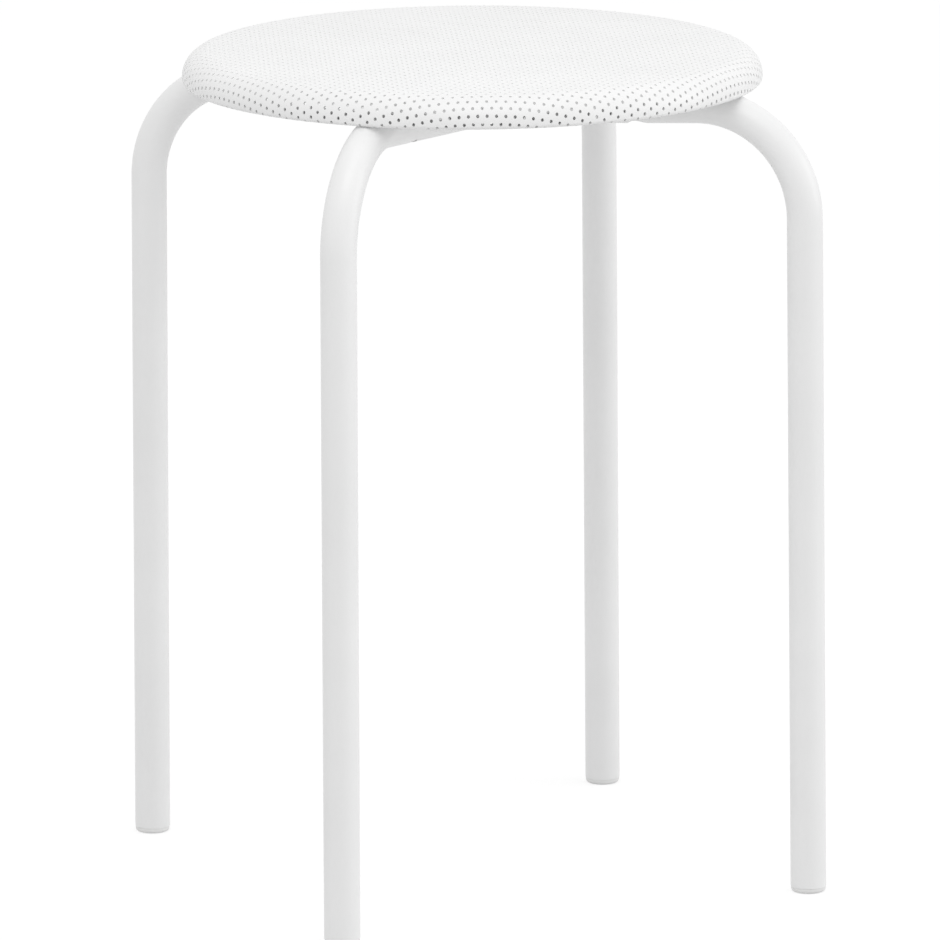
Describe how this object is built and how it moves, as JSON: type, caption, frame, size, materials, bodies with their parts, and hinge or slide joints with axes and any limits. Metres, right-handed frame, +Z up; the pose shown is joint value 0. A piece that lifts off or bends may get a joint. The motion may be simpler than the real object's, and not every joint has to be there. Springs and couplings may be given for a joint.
{
  "type": "stacking stool",
  "caption": "Round stacking stool: a perforated pressed-steel seat on bent tube hoops that cross beneath it, with push-in plastic feet.",
  "frame": {"origin": "on the floor, under the middle of the seat", "axes": "+Z up, from the floor to the seat; the left and right feet lie on the X axis, the front and rear feet on the Y axis"},
  "size_m": [0.4032, 0.4032, 0.45],
  "materials": {
    "seat_coat": "white fine-texture powder coat",
    "frame_coat": "white satin powder coat",
    "plug_plastic": "moulded, matt",
    "spacer_plastic": "moulded, matt",
    "boss_steel": "white powder coat over turned steel",
    "zinc_steel": "bright zinc plate"
  },
  "bodies": {
    "root": {"seat_pan": "seat_coat", "upper_leg_hoop": "frame_coat", "lower_leg_hoop": "frame_coat", "foot_plug_right": "plug_plastic", "seat_boss_right": "boss_steel", "seat_spacer_right": "spacer_plastic", "seat_screw_right": "zinc_steel", "foot_plug_rear": "plug_plastic", "seat_boss_rear": "boss_steel", "seat_spacer_rear": "spacer_plastic", "seat_screw_rear": "zinc_steel", "foot_plug_left": "plug_plastic", "seat_boss_left": "boss_steel", "seat_spacer_left": "spacer_plastic", "seat_screw_left": "zinc_steel", "foot_plug_front": "plug_plastic", "seat_boss_front": "boss_steel", "seat_spacer_front": "spacer_plastic", "seat_screw_front": "zinc_steel", "crossing_screw": "zinc_steel", "crossing_washer": "zinc_steel", "crossing_nut": "zinc_steel"}
  },
  "joints": []
}
